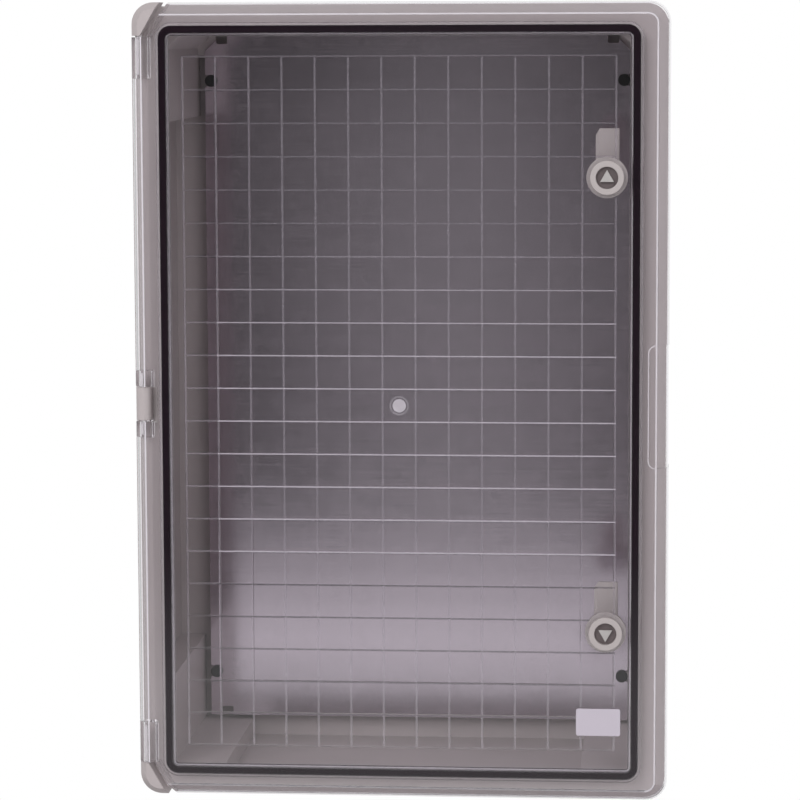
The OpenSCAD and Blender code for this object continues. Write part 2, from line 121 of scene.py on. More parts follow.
class CABINET_PG_finish(PropertyGroup):
    """Colours of the cabinet's materials"""

    abs_color: color_setting("ABS", "Colour of the moulded base", (0.45, 0.40, 0.405))
    pane_tint: color_setting("Pane tint", "Tint of the clear door", (0.91, 0.895, 0.915))
    zinc_color: color_setting("Galvanised sheet", "Colour of the mounting plate", (0.82, 0.74, 0.82))
    gasket_color: color_setting("Gasket", "Colour of the foam gasket", (0.011, 0.004, 0.009))
    lock_color: color_setting("Lock plastic", "Colour of bezels, nuts and cams", (0.44, 0.395, 0.395))
    spindle_color: color_setting("Spindle", "Colour of the spindle heads", (0.148, 0.118, 0.122))
    key_color: color_setting("Key drive", "Colour of the key drives", (0.43, 0.405, 0.40))
    pin_color: color_setting("Hinge pin", "Colour of the hinge pins", (0.66, 0.63, 0.65))
    screw_color: color_setting("Plate screw", "Colour of the plate screws", (0.012, 0.012, 0.014))
    steel_color: color_setting("Zinc plating", "Colour of washers and screws", (0.62, 0.62, 0.63))
    # Colour of the gate mark's frost and of the painted highlight lines on the door
    frost_color: color_setting("Frosted plastic", "Colour of frosted lines", (0.78, 0.74, 0.79))
    # Colour of the painted shade on the lower level lines
    shade_color: color_setting("Rib shade", "Colour of the shaded level ribs", (0.10, 0.09, 0.10))
    label_color: color_setting("Label", "Colour of the bare label", (0.53, 0.48, 0.55))


class CABINET_PG_pane(PropertyGroup):
    """Grid lines and gate mark moulded into the inside of the pane"""

    pitch: length_setting("Grid pitch", "Distance between grid lines", 0.025)
    line_width: length_setting("Line width", "Width of a grid line", 0.0018)
    line_height: length_setting("Line height", "Height of a grid line over the pane", 0.0001)
    # Widths of the strips of painted highlight on the grid lines
    level_crest: length_setting("Level crest", "Width of the crest of a level line", 0.0010)
    upright_crest: length_setting("Upright crest", "Width of the crest of an upright line", 0.0015)
    columns: IntProperty(name="Columns", description="Number of grid columns", default=13)
    rows: IntProperty(name="Rows", description="Number of grid rows", default=21)
    gate_radius: length_setting("Gate radius", "Radius of the gate mark", 0.0051)
    gate_ring: length_setting("Gate ring", "Radius of the ring around the gate mark", 0.0067)
    gate_height: length_setting("Gate height", "Height of the gate mark over the pane", 0.0004)
    bead_radius: length_setting("Bead radius", "Radius of the bead on the inner gasket rib", 0.0009)
    # Width of the strip of painted highlight along the door's ridge
    ridge_crest: length_setting("Ridge crest", "Width of the frosted crest of the door's ridge", 0.0012)
    # Width of the strip of painted highlight along the edge of the finger grip
    grip_crest: length_setting("Grip crest", "Width of the frosted edge of the finger grip", 0.0008)


class CABINET_PG_label(PropertyGroup):
    """The bare label on the door"""

    width: length_setting("Width", "Width of the label", 0.0336)
    height: length_setting("Height", "Height of the label", 0.021)
    radius: length_setting("Corner radius", "Corner radius of the label", 0.0018)
    thickness: length_setting("Thickness", "Thickness of the label", 0.00015)
    centre_x: length_setting("Centre X", "Place of the label across the door", 0.1507)
    centre_z: length_setting("Centre Z", "Place of the label up the door", -0.2407)


class CABINET_PG_stage(PropertyGroup):
    """Camera, light and floor"""

    lens: FloatProperty(
        name="Lens", description="Focal length of the camera",
        subtype="DISTANCE_CAMERA", unit="CAMERA", default=145.31)
    camera_place: FloatVectorProperty(
        name="Camera place", description="Place of the camera",
        subtype="TRANSLATION", unit="LENGTH", size=3, default=(0.2008, -2.6099, 0.2822))
    turn: FloatProperty(
        name="Turn", description="Turn of the camera to the left",
        subtype="ANGLE", unit="ROTATION", default=0.0828)
    dip: FloatProperty(
        name="Dip", description="Dip of the camera below the horizon",
        subtype="ANGLE", unit="ROTATION", default=0.1143)
    roll: FloatProperty(
        name="Roll", description="Roll of the camera about its view",
        subtype="ANGLE", unit="ROTATION", default=-0.0035)
    floor_drop: length_setting("Floor", "Distance of the floor below the cabinet", 0.9)
    key_power: FloatProperty(
        name="Key light", description="Power of the large light at the upper left",
        unit="POWER", default=42.0)
    fill_power: FloatProperty(
        name="Fill light", description="Power of the light at the right",
        unit="POWER", default=12.0)
    ambient: FloatProperty(
        name="Ambient", description="Strength of the soft light from all around", default=0.6)


# Node helpers


def settings():
    return bpy.context.scene.cabinet_finish


def add_node(tree, kind, **values):
    node = tree.nodes.new(kind)
    for key, value in values.items():
        setattr(node, key, value)
    return node


def add_math(tree, operation, *values):
    """Math node whose inputs from the second on hold the values"""
    node = add_node(tree, "ShaderNodeMath", operation=operation)
    for socket, value in zip(node.inputs[1:], values):
        socket.default_value = value
    return node


def join(tree, *pairs):
    for source, target in pairs:
        tree.links.new(source, target)


def set_inputs(node, **values):
    for key, value in values.items():
        node.inputs[key.replace("_", " ")].default_value = value


def rgba(color):
    return (*color, 1.0)


def object_place(tree):
    """Node with X, Y and Z of a point in the frame of its object"""
    coords = add_node(tree, "ShaderNodeTexCoord")
    parts = add_node(tree, "ShaderNodeSeparateXYZ")
    join(tree, (coords.outputs["Object"], parts.inputs["Vector"]))
    return parts


def seen_level(tree, target, unseen, seen):
    """Strength for what the camera, metal and glass see, apart from what lights the object"""
    path = add_node(tree, "ShaderNodeLightPath")
    mirrored = add_math(tree, "MAXIMUM")
    shown = add_math(tree, "MAXIMUM")
    level = add_node(tree, "ShaderNodeMapRange")
    set_inputs(level, To_Min=unseen, To_Max=seen)
    join(tree,
         (path.outputs["Is Camera Ray"], mirrored.inputs[0]),
         (path.outputs["Is Glossy Ray"], mirrored.inputs[1]),
         (mirrored.outputs["Value"], shown.inputs[0]),
         (path.outputs["Is Transmission Ray"], shown.inputs[1]),
         (shown.outputs["Value"], level.inputs["Value"]),
         (level.outputs["Result"], target))


def new_material(name):
    material = bpy.data.materials.new(name)
    material.use_nodes = True
    tree = material.node_tree
    return material, tree, tree.nodes["Principled BSDF"]


def new_socket(group, label, side):
    kind = "NodeSocketColor" if label == "Color" else "NodeSocketFloat"
    return group.interface.new_socket(name=label, in_out=side, socket_type=kind)


def new_group(name, inputs, outputs):
    """Node group whose sockets named Color are colours and whose others are values"""
    group = bpy.data.node_groups.new(name, "ShaderNodeTree")
    for label, default in inputs.items():
        new_socket(group, label, "INPUT").default_value = default
    for label in outputs:
        new_socket(group, label, "OUTPUT")
    return group, group.nodes.new("NodeGroupInput"), group.nodes.new("NodeGroupOutput")


def place_group(tree, group, **values):
    node = add_node(tree, "ShaderNodeGroup", node_tree=group)
    set_inputs(node, **values)
    return node


def shared(build):
    """Builds a node group the first time it is asked for, under its function's name"""

    @functools.wraps(build)
    def stored():
        return bpy.data.node_groups.get(build.__name__) or build(build.__name__)

    return stored


# Shared effects


@shared
def moulded_grain(name):
    """Fine spark texture of moulded plastic with faint cloudy tone"""
    group, start, end = new_group(
        name,
        {"Color": (0.5, 0.5, 0.5, 1), "Grain Scale": 1600.0, "Cloud Scale": 14.0, "Cloud Amount": 0.06,
         "Roughness": 0.4, "Roughness Spread": 0.08},
        ("Color", "Roughness", "Height"))
    coords = add_node(group, "ShaderNodeTexCoord")
    grain = add_node(group, "ShaderNodeTexNoise")
    set_inputs(grain, Detail=2.0, Roughness=0.6)
    cloud = add_node(group, "ShaderNodeTexNoise")
    set_inputs(cloud, Detail=4.0, Roughness=0.55)
    centred = add_math(group, "SUBTRACT", 0.5)
    amount = add_math(group, "MULTIPLY")
    shade = add_math(group, "ADD", 1.0)
    tone = add_node(group, "ShaderNodeVectorMath", operation="SCALE")
    spread = add_math(group, "MULTIPLY_ADD")
    join(group,
         (coords.outputs["Object"], grain.inputs["Vector"]),
         (start.outputs["Grain Scale"], grain.inputs["Scale"]),
         (coords.outputs["Object"], cloud.inputs["Vector"]),
         (start.outputs["Cloud Scale"], cloud.inputs["Scale"]),
         (cloud.outputs["Fac"], centred.inputs[0]),
         (centred.outputs["Value"], amount.inputs[0]),
         (start.outputs["Cloud Amount"], amount.inputs[1]),
         (amount.outputs["Value"], shade.inputs[0]),
         (start.outputs["Color"], tone.inputs[0]),
         (shade.outputs["Value"], tone.inputs["Scale"]),
         (tone.outputs["Vector"], end.inputs["Color"]),
         (centred.outputs["Value"], spread.inputs[0]),
         (start.outputs["Roughness Spread"], spread.inputs[1]),
         (start.outputs["Roughness"], spread.inputs[2]),
         (spread.outputs["Value"], end.inputs["Roughness"]),
         (grain.outputs["Fac"], end.inputs["Height"]))
    return group


@shared
def rolled_sheet(name):
    """Level rolling streaks and faint zinc spangle of a galvanised sheet"""
    group, start, end = new_group(
        name,
        {"Color": (0.6, 0.6, 0.6, 1), "Roughness": 0.3, "Streak Amount": 0.10, "Spangle Amount": 0.06},
        ("Color", "Roughness", "Height"))
    coords = add_node(group, "ShaderNodeTexCoord")
    stretch = add_node(group, "ShaderNodeMapping")
    set_inputs(stretch, Scale=STREAK_STRETCH)
    streak = add_node(group, "ShaderNodeTexNoise")
    set_inputs(streak, Scale=1.0, Detail=3.0, Roughness=0.65)
    spangle = add_node(group, "ShaderNodeTexVoronoi")
    set_inputs(spangle, Scale=110.0, Randomness=1.0)
    spangle_tone = add_node(group, "ShaderNodeSeparateColor")
    streak_centred = add_math(group, "SUBTRACT", 0.5)
    spangle_centred = add_math(group, "SUBTRACT", 0.5)
    streak_part = add_math(group, "MULTIPLY_ADD")
    streak_part.inputs[2].default_value = 1.0
    shade = add_math(group, "MULTIPLY_ADD")
    tone = add_node(group, "ShaderNodeVectorMath", operation="SCALE")
    streak_rough = add_math(group, "MULTIPLY_ADD")
    rough = add_math(group, "MULTIPLY_ADD")
    join(group,
         (coords.outputs["Object"], stretch.inputs["Vector"]),
         (stretch.outputs["Vector"], streak.inputs["Vector"]),
         (coords.outputs["Object"], spangle.inputs["Vector"]),
         (spangle.outputs["Color"], spangle_tone.inputs["Color"]),
         (streak.outputs["Fac"], streak_centred.inputs[0]),
         (spangle_tone.outputs["Red"], spangle_centred.inputs[0]),
         (streak_centred.outputs["Value"], streak_part.inputs[0]),
         (start.outputs["Streak Amount"], streak_part.inputs[1]),
         (spangle_centred.outputs["Value"], shade.inputs[0]),
         (start.outputs["Spangle Amount"], shade.inputs[1]),
         (streak_part.outputs["Value"], shade.inputs[2]),
         (start.outputs["Color"], tone.inputs[0]),
         (shade.outputs["Value"], tone.inputs["Scale"]),
         (tone.outputs["Vector"], end.inputs["Color"]),
         (streak_centred.outputs["Value"], streak_rough.inputs[0]),
         (start.outputs["Streak Amount"], streak_rough.inputs[1]),
         (start.outputs["Roughness"], streak_rough.inputs[2]),
         (spangle_centred.outputs["Value"], rough.inputs[0]),
         (start.outputs["Spangle Amount"], rough.inputs[1]),
         (streak_rough.outputs["Value"], rough.inputs[2]),
         (rough.outputs["Value"], end.inputs["Roughness"]),
         (streak.outputs["Fac"], end.inputs["Height"]))
    return group


@shared
def sheet_bow(name):
    """Height of a sheet that bows forward below a level"""
    group, start, end = new_group(name, {"Level": 0.0, "Amount": 0.0}, ("Height",))
    place = object_place(group)
    below = add_math(group, "SUBTRACT")
    clipped = add_math(group, "MAXIMUM", 0.0)
    squared = add_math(group, "POWER", 2.0)
    height = add_math(group, "MULTIPLY")
    join(group,
         (start.outputs["Level"], below.inputs[0]),
         (place.outputs["Z"], below.inputs[1]),
         (below.outputs["Value"], clipped.inputs[0]),
         (clipped.outputs["Value"], squared.inputs[0]),
         (squared.outputs["Value"], height.inputs[0]),
         (start.outputs["Amount"], height.inputs[1]),
         (height.outputs["Value"], end.inputs["Height"]))
    return group


@shared
def depth_mask(name):
    """Mask that is 1 in front of a depth along Y and 0 behind it"""
    group, start, end = new_group(name, {"Depth": 0.0}, ("Mask",))
    place = object_place(group)
    test = add_math(group, "LESS_THAN")
    join(group,
         (place.outputs["Y"], test.inputs[0]),
         (start.outputs["Depth"], test.inputs[1]),
         (test.outputs["Value"], end.inputs["Mask"]))
    return group


@shared
def height_fade(name):
    """Value that follows the height on the door through four levels"""
    group, start, end = new_group(name, {"Bottom": 0.0, "Low": 1.0, "High": 1.0, "Top": 1.0}, ("Value",))
    place = object_place(group)
    level = start.outputs["Bottom"]
    for label, low, high in FADE_STEPS:
        ramp = add_node(group, "ShaderNodeMapRange", interpolation_type="SMOOTHSTEP")
        set_inputs(ramp, From_Min=low, From_Max=high)
        blend = add_node(group, "ShaderNodeMix", data_type="FLOAT")
        join(group,
             (place.outputs["Z"], ramp.inputs["Value"]),
             (ramp.outputs["Result"], blend.inputs["Factor"]),
             (level, blend.inputs["A"]),
             (start.outputs[label], blend.inputs["B"]))
        level = blend.outputs["Result"]
    join(group, (level, end.inputs["Value"]))
    return group


def soft_edge(tree, shader, height, radius, strength, depth, curve=None):
    """Rounded edges, the curve of a whole sheet and fine relief on a material's normal"""
    bevel = add_node(tree, "ShaderNodeBevel", samples=4)
    set_inputs(bevel, Radius=radius)
    normal = bevel.outputs["Normal"]
    for source, amount, reach in ((curve, 1.0, 1.0), (height, strength, depth)):
        if source is not None:
            bump = add_node(tree, "ShaderNodeBump")
            set_inputs(bump, Strength=amount, Distance=reach)
            join(tree, (normal, bump.inputs["Normal"]), (source, bump.inputs["Height"]))
            normal = bump.outputs["Normal"]
    join(tree, (normal, shader.inputs["Normal"]))


def coat(tree, group, shader):
    """Colour and roughness of a shader from a group"""
    join(tree,
         (group.outputs["Color"], shader.inputs["Base Color"]),
         (group.outputs["Roughness"], shader.inputs["Roughness"]))


# Finishes


def moulded_plastic(name, color, roughness, cloud=0.06, grain=1600.0, relief=0.10, edge=0.0006):
    material, tree, shader = new_material(name)
    group = place_group(
        tree, moulded_grain(), Color=rgba(color), Grain_Scale=grain, Cloud_Amount=cloud,
        Roughness=roughness)
    coat(tree, group, shader)
    soft_edge(tree, shader, group.outputs["Height"], radius=edge, strength=relief, depth=0.0002)
    return material


def sheet_metal(name, color, roughness, metallic=1.0, bow=0.0, streak=0.05):
    """Galvanised or plated sheet, which may bow forward at its foot"""
    material, tree, shader = new_material(name)
    set_inputs(shader, Metallic=metallic)
    group = place_group(
        tree, rolled_sheet(), Color=rgba(color), Roughness=roughness, Streak_Amount=streak,
        Spangle_Amount=0.03)
    coat(tree, group, shader)
    curve = None
    if bow:
        curve = place_group(tree, sheet_bow(), Level=BOW_LEVEL, Amount=bow).outputs["Height"]
    soft_edge(
        tree, shader, group.outputs["Height"], radius=0.0003, strength=0.02, depth=0.0001, curve=curve)
    return material


def clear_plastic(name, tint, edge=0.0):
    """Clear tinted moulding; shadow rays pass so that light reaches the inside"""
    material, tree, shader = new_material(name)
    set_inputs(shader, Base_Color=rgba(tint), IOR=PANE_IOR, Transmission_Weight=1.0)
    group = place_group(
        tree, moulded_grain(), Grain_Scale=90.0, Cloud_Scale=30.0, Roughness=0.012,
        Roughness_Spread=0.012)
    join(tree, (group.outputs["Roughness"], shader.inputs["Roughness"]))
    if edge:
        soft_edge(tree, shader, group.outputs["Height"], radius=edge, strength=0.004, depth=0.0002)
    path = add_node(tree, "ShaderNodeLightPath")
    through = add_node(tree, "ShaderNodeBsdfTransparent")
    set_inputs(through, Color=rgba(PANE_SHADOW))
    outward = add_math(tree, "SUBTRACT")
    outward.use_clamp = True
    soft = add_math(tree, "MAXIMUM")
    lighting = add_math(tree, "MAXIMUM")
    mix = add_node(tree, "ShaderNodeMixShader")
    join(tree,
         (path.outputs["Is Glossy Ray"], outward.inputs[0]),
         (path.outputs["Is Transmission Ray"], outward.inputs[1]),
         (path.outputs["Is Diffuse Ray"], soft.inputs[0]),
         (outward.outputs["Value"], soft.inputs[1]),
         (path.outputs["Is Shadow Ray"], lighting.inputs[0]),
         (soft.outputs["Value"], lighting.inputs[1]),
         (lighting.outputs["Value"], mix.inputs["Fac"]),
         (shader.outputs["BSDF"], mix.inputs[1]),
         (through.outputs["BSDF"], mix.inputs[2]),
         (mix.outputs["Shader"], tree.nodes["Material Output"].inputs["Surface"]))
    return material


def frosted_plastic(name, color, *densities):
    """Thin film on the clear moulding, with one density or one for each of four heights: the gate mark's
    own frost, painted highlights on crests and painted shade on the lower level lines
    """
    material, tree, shader = new_material(name)
    group = place_group(
        tree, moulded_grain(), Color=rgba(color), Grain_Scale=2600.0, Cloud_Scale=60.0,
        Cloud_Amount=0.25, Roughness=0.55)
    coat(tree, group, shader)
    bottom, low, high, top = densities if len(densities) == 4 else densities * 4
    fade = place_group(tree, height_fade(), Bottom=bottom, Low=low, High=high, Top=top)
    vary = add_node(tree, "ShaderNodeMapRange")
    set_inputs(vary, To_Min=0.8, To_Max=1.2)
    density = add_math(tree, "MULTIPLY")
    join(tree,
         (group.outputs["Height"], vary.inputs["Value"]),
         (vary.outputs["Result"], density.inputs[0]),
         (fade.outputs["Value"], density.inputs[1]),
         (density.outputs["Value"], shader.inputs["Alpha"]))
    return material


def foam(name, color):
    material, tree, shader = new_material(name)
    set_inputs(shader, Specular_IOR_Level=0.1)
    group = place_group(
        tree, moulded_grain(), Color=rgba(color), Grain_Scale=2200.0, Cloud_Scale=80.0,
        Cloud_Amount=0.5, Roughness=0.8, Roughness_Spread=0.15)
    coat(tree, group, shader)
    soft_edge(tree, shader, group.outputs["Height"], radius=0.0008, strength=0.35, depth=0.0003)
    return material


def cast_spindle(name, body, drive):
    """Dark casting with a pale front on its raised key drive: the pale front is partly the drive's own
    colour and partly painted light on its lit face, the dark is partly the casting's own colour and
    partly painted shade in the recess
    """
    material, tree, shader = new_material(name)
    # Painted light and shade: everything in front of the key drive's face takes the pale colour,
    # everything behind it the dark one
    mask = place_group(tree, depth_mask(), Depth=HEAD_FRONT_Y + KEY_DEPTH)
    mix = add_node(tree, "ShaderNodeMix", data_type="RGBA")
    mix.inputs["A"].default_value = rgba(body)
    mix.inputs["B"].default_value = rgba(drive)
    group = place_group(
        tree, moulded_grain(), Grain_Scale=2400.0, Cloud_Scale=120.0, Cloud_Amount=0.35, Roughness=0.42)
    join(tree,
         (mask.outputs["Mask"], mix.inputs["Factor"]),
         (mix.outputs["Result"], group.inputs["Color"]))
    coat(tree, group, shader)
    soft_edge(tree, shader, group.outputs["Height"], radius=0.0003, strength=0.2, depth=0.0002)
    return material


# Piece helpers


def node_object(name):
    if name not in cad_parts:
        raise RuntimeError("the frame has no node named " + name)
    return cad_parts[name]


def lock_nodes(*kinds):
    return [side + "_" + kind for kind in kinds for side in LOCK_SIDES]


def dress(names, material):
    for name in names:
        mesh = node_object(name).data
        mesh.materials.clear()
        mesh.materials.append(material)


def round_edges(names, width, segments=2):
    """Rounded edges on CAD solids, made by modifiers"""
    for name in names:
        piece = node_object(name)
        weld = piece.modifiers.new("weld", "WELD")
        weld.merge_threshold = HAIR / 2
        bevel = piece.modifiers.new("rounded_edges", "BEVEL")
        bevel.width = width
        bevel.segments = segments
        bevel.limit_method = "ANGLE"
        bevel.angle_limit = SHARP_ANGLE
        bevel.harden_normals = False


def new_piece(name, build, materials, body):
    mesh = bpy.data.meshes.new(name)
    bmesh.ops.recalc_face_normals(build, faces=build.faces)
    build.to_mesh(mesh)
    build.free()
    piece = bpy.data.objects.new(name, mesh)
    bpy.context.scene.collection.objects.link(piece)
    for material in materials:
        mesh.materials.append(material)
    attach(piece, body)
    return piece


def smooth_piece(piece):
    """Smooth shading with sharp edges"""
    for face in piece.data.polygons:
        face.use_smooth = True
    piece.data.set_sharp_from_angle(angle=SHARP_ANGLE)


def rounded_outline(half_x, half_z, radius, steps, centre=(0, 0)):
    """Points of a rounded rectangle in X and Z"""
    points = []
    for turn, (sx, sz) in enumerate(((1, 1), (-1, 1), (-1, -1), (1, -1))):
        for k in range(steps + 1):
            angle = math.pi / 2 * (turn + k / steps)
            points.append((centre[0] + sx * (half_x - radius) + radius * math.cos(angle),
                           centre[1] + sz * (half_z - radius) + radius * math.sin(angle)))
    return points


def ring_faces(build, first, second):
    """Faces between two closed loops, of which the second may be one point"""
    count = len(first)
    for k in range(count):
        n = (k + 1) % count
        if len(second) == 1:
            build.faces.new((first[k], first[n], second[0]))
        else:
            build.faces.new((first[k], first[n], second[n], second[k]))


def thicken(build, faces, offset):
    """Closes flat faces into thin solids that reach offset along Y"""
    made = bmesh.ops.extrude_face_region(build, geom=faces)
    moved = [item for item in made["geom"] if isinstance(item, bmesh.types.BMVert)]
    bmesh.ops.translate(build, vec=(0, offset, 0), verts=moved)


# Operators


class CABINET_OT_base(Operator):
    """Dress the moulded base"""

    bl_idname = "cabinet.base"
    bl_label = "Base"

    def execute(self, context):
        plastic = moulded_plastic("abs_grey", settings().abs_color, roughness=0.42, edge=0.0009)
        dress(["base_shell"], plastic)
        return {"FINISHED"}


class CABINET_OT_plate(Operator):
    """Dress the mounting plate and its screws"""

    bl_idname = "cabinet.plate"
    bl_label = "Mounting plate"

    def execute(self, context):
        finish = settings()
        sheet = sheet_metal(
            "galvanised_steel", finish.zinc_color, roughness=0.15, metallic=0.93, bow=0.63, streak=0.14)
        black = moulded_plastic("black_screw", finish.screw_color, roughness=0.4, cloud=0.4)
        dress(["mounting_plate"], sheet)
        dress(["plate_screws"], black)
        round_edges(["mounting_plate"], width=0.0003)
        round_edges(["plate_screws"], width=0.0009, segments=3)
        return {"FINISHED"}


class CABINET_OT_door(Operator):
    """Dress the clear door and its gasket"""

    bl_idname = "cabinet.door"
    bl_label = "Door"

    def execute(self, context):
        finish = settings()
        dress(["door_cover"], clear_plastic("clear_pane", finish.pane_tint, edge=0.0007))
        dress(["door_gasket"], foam("gasket_foam", finish.gasket_color))
        round_edges(["door_gasket"], width=0.0009, segments=3)
        return {"FINISHED"}


class CABINET_OT_grid(Operator):
    """Build the clear grid ribs and the bead of the gasket rib on the inside of the pane, with thin
    strips that carry painted highlights and painted shade on them
    """

    bl_idname = "cabinet.grid"
    bl_label = "Pane grid"

    profile = (-1.0, -0.75, -0.4, 0.0, 0.4, 0.75, 1.0)
    bead_steps = 8
    corner_steps = 12
    line_shift = 0.35
    level, upright, left_side, shaded = range(4)

    def execute(self, context):
        pane = context.scene.cabinet_pane
        clear = clear_plastic("clear_rib", settings().pane_tint)
        self.make_ribs(pane, clear)
        self.make_crests(pane)
        self.make_bead(pane, clear)
        return {"FINISHED"}

    def make_ribs(self, pane, clear):
        """Low ribs of lens-shaped section, closed by a flat back a hair behind the pane"""
        build = bmesh.new()
        across = self.samples(pane.columns, pane)
        along = self.samples(pane.rows, pane)
        back = PANE_BACK_Y + HAIR
        tops = [[build.verts.new((x, back + self.height(s, t, pane), z)) for x, s in across]
                for z, t in along]
        gap = len(self.profile)
        for j in range(len(along) - 1):
            for i in range(len(across) - 1):
                if (i + 1) % gap or (j + 1) % gap:
                    build.faces.new((tops[j][i], tops[j][i + 1], tops[j + 1][i + 1], tops[j + 1][i]))
        made = bmesh.ops.extrude_face_region(build, geom=build.faces[:])
        for item in made["geom"]:
            if isinstance(item, bmesh.types.BMVert):
                item.co.y = back
        smooth_piece(new_piece("pane_grid", build, [clear], "door"))

    def lines(self, cells, pane):
        """Places of the lines of a grid that is centred on the door"""
        return [(k - cells / 2) * pane.pitch for k in range(cells + 1)]

    def samples(self, cells, pane):
        """Places across each line, with their place in its section"""
        return [(line + step * pane.line_width / 2, step)
                for line in self.lines(cells, pane) for step in self.profile]

    def edges(self, cells, pane, width):
        """Both edges of the crest of each line"""
        return [line + side * width / 2 for line in self.lines(cells, pane) for side in (-1, 1)]

    def height(self, s, t, pane):
        return HAIR + pane.line_height * (1 - min(s * s, t * t))

    def make_crests(self, pane):
        """Thin strips a hair above the crests of the ribs, which carry painted highlights and, on the
        lower level lines, painted shade
        """
        finish = settings()
        build = bmesh.new()
        across = self.edges(pane.columns, pane, pane.upright_crest)
        along = self.edges(pane.rows, pane, pane.level_crest)
        y = PANE_BACK_Y + pane.line_height + 3 * HAIR
        rows = [[build.verts.new((x, y, z)) for x in across] for z in along]
        for j in range(len(along) - 1):
            for i in range(len(across) - 1):
                on_upright = i % 2 == 0
                on_level = j % 2 == 0
                if on_upright or on_level:
                    corners = (rows[j][i], rows[j][i + 1], rows[j + 1][i + 1], rows[j + 1][i])
                    build.faces.new(corners).material_index = self.crest_slot(on_level, i, along[j])
        loose = [vert for vert in build.verts if not vert.link_faces]
        bmesh.ops.delete(build, geom=loose, context="VERTS")
        thicken(build, build.faces[:], HAIR)
        # Painted highlights on the level, upright and side lines, with densities for four heights of the
        # door, and painted shade on the lower level lines
        finishes = [frosted_plastic("highlight_level", finish.frost_color, 0.0, 0.72, 0.70, 0.09),
                    frosted_plastic("highlight_upright", finish.frost_color, 0.10, 0.10, 0.14, 0.12),
                    frosted_plastic("highlight_side", finish.frost_color, 0.0, 0.16, 0.16, 0.06),
                    frosted_plastic("shaded_level", finish.shade_color, 0.33)]
        new_piece("rib_highlights", build, finishes, "door")

    def crest_slot(self, on_level, column, z):
        """Finish of a crest, in which the first column of the level lines lies beside the plate and
        takes a weaker painted highlight; the other level lines take painted shade between SHADE_BOTTOM
        and SHADE_TOP and a painted highlight elsewhere, as do the uprights
        """
        if not on_level:
            return self.upright
        if column < 2:
            return self.left_side
        return self.shaded if SHADE_BOTTOM < z < SHADE_TOP else self.level

    def make_bead(self, pane, clear):
        """Half-round bead along the tip of the inner gasket rib, with thin lines of painted highlight
        along its crest and along the outer rib
        """
        low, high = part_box("door_gasket")
        inset = GASKET_WIDTH + RIB_FIT + pane.bead_radius
        half_x = (high.x - low.x) / 2 - inset
        half_z = (high.z - low.z) / 2 - inset
        radius = SEAL_RADIUS - GASKET_WIDTH / 2 - RIB_FIT - pane.bead_radius
        tip = PANE_BACK_Y + RIB_HEIGHT + HAIR
        build = bmesh.new()
        loops = []
        for k in range(self.bead_steps + 1):
            angle = math.pi * k / self.bead_steps
            out = pane.bead_radius * math.cos(angle)
            y = tip + pane.bead_radius * math.sin(angle)
            outline = rounded_outline(half_x + out, half_z + out, radius + out, self.corner_steps)
            loops.append([build.verts.new((x, y, z)) for x, z in outline])
        for first, second in zip(loops, loops[1:] + loops[:1]):
            ring_faces(build, first, second)
        smooth_piece(new_piece("channel_bead", build, [clear], "door"))
        # Painted highlights along the bead's crest and along the outer rib, with densities for four
        # heights of the door
        color = settings().frost_color
        painted_highlight = frosted_plastic("highlight_bead", color, 0.68, 0.64, 0.60, 0.30)
        crest = tip + pane.bead_radius + HAIR
        self.make_rib_line("bead_highlight", half_x, half_z, radius, crest, pane, painted_highlight)
        shift = 2 * inset - GASKET_WIDTH
        painted_highlight = frosted_plastic("highlight_rib", color, 0.06, 0.16, 0.16, 0.16)
        self.make_rib_line(
            "outer_rib_highlight", half_x + shift, half_z + shift, radius + shift, tip, pane, painted_highlight)

    def make_rib_line(self, name, half_x, half_z, radius, y, pane, painted_highlight):
        """Thin line of painted highlight along a gasket rib"""
        build = bmesh.new()
        loops = []
        for side in (-1, 1):
            for depth in (y, y + HAIR)[::side]:
                out = (side * 0.5 + self.line_shift) * pane.level_crest
                outline = rounded_outline(half_x + out, half_z + out, radius + out, self.corner_steps)
                loops.append([build.verts.new((x, depth, z)) for x, z in outline])
        for first, second in zip(loops, loops[1:] + loops[:1]):
            ring_faces(build, first, second)
        new_piece(name, build, [painted_highlight], "door")


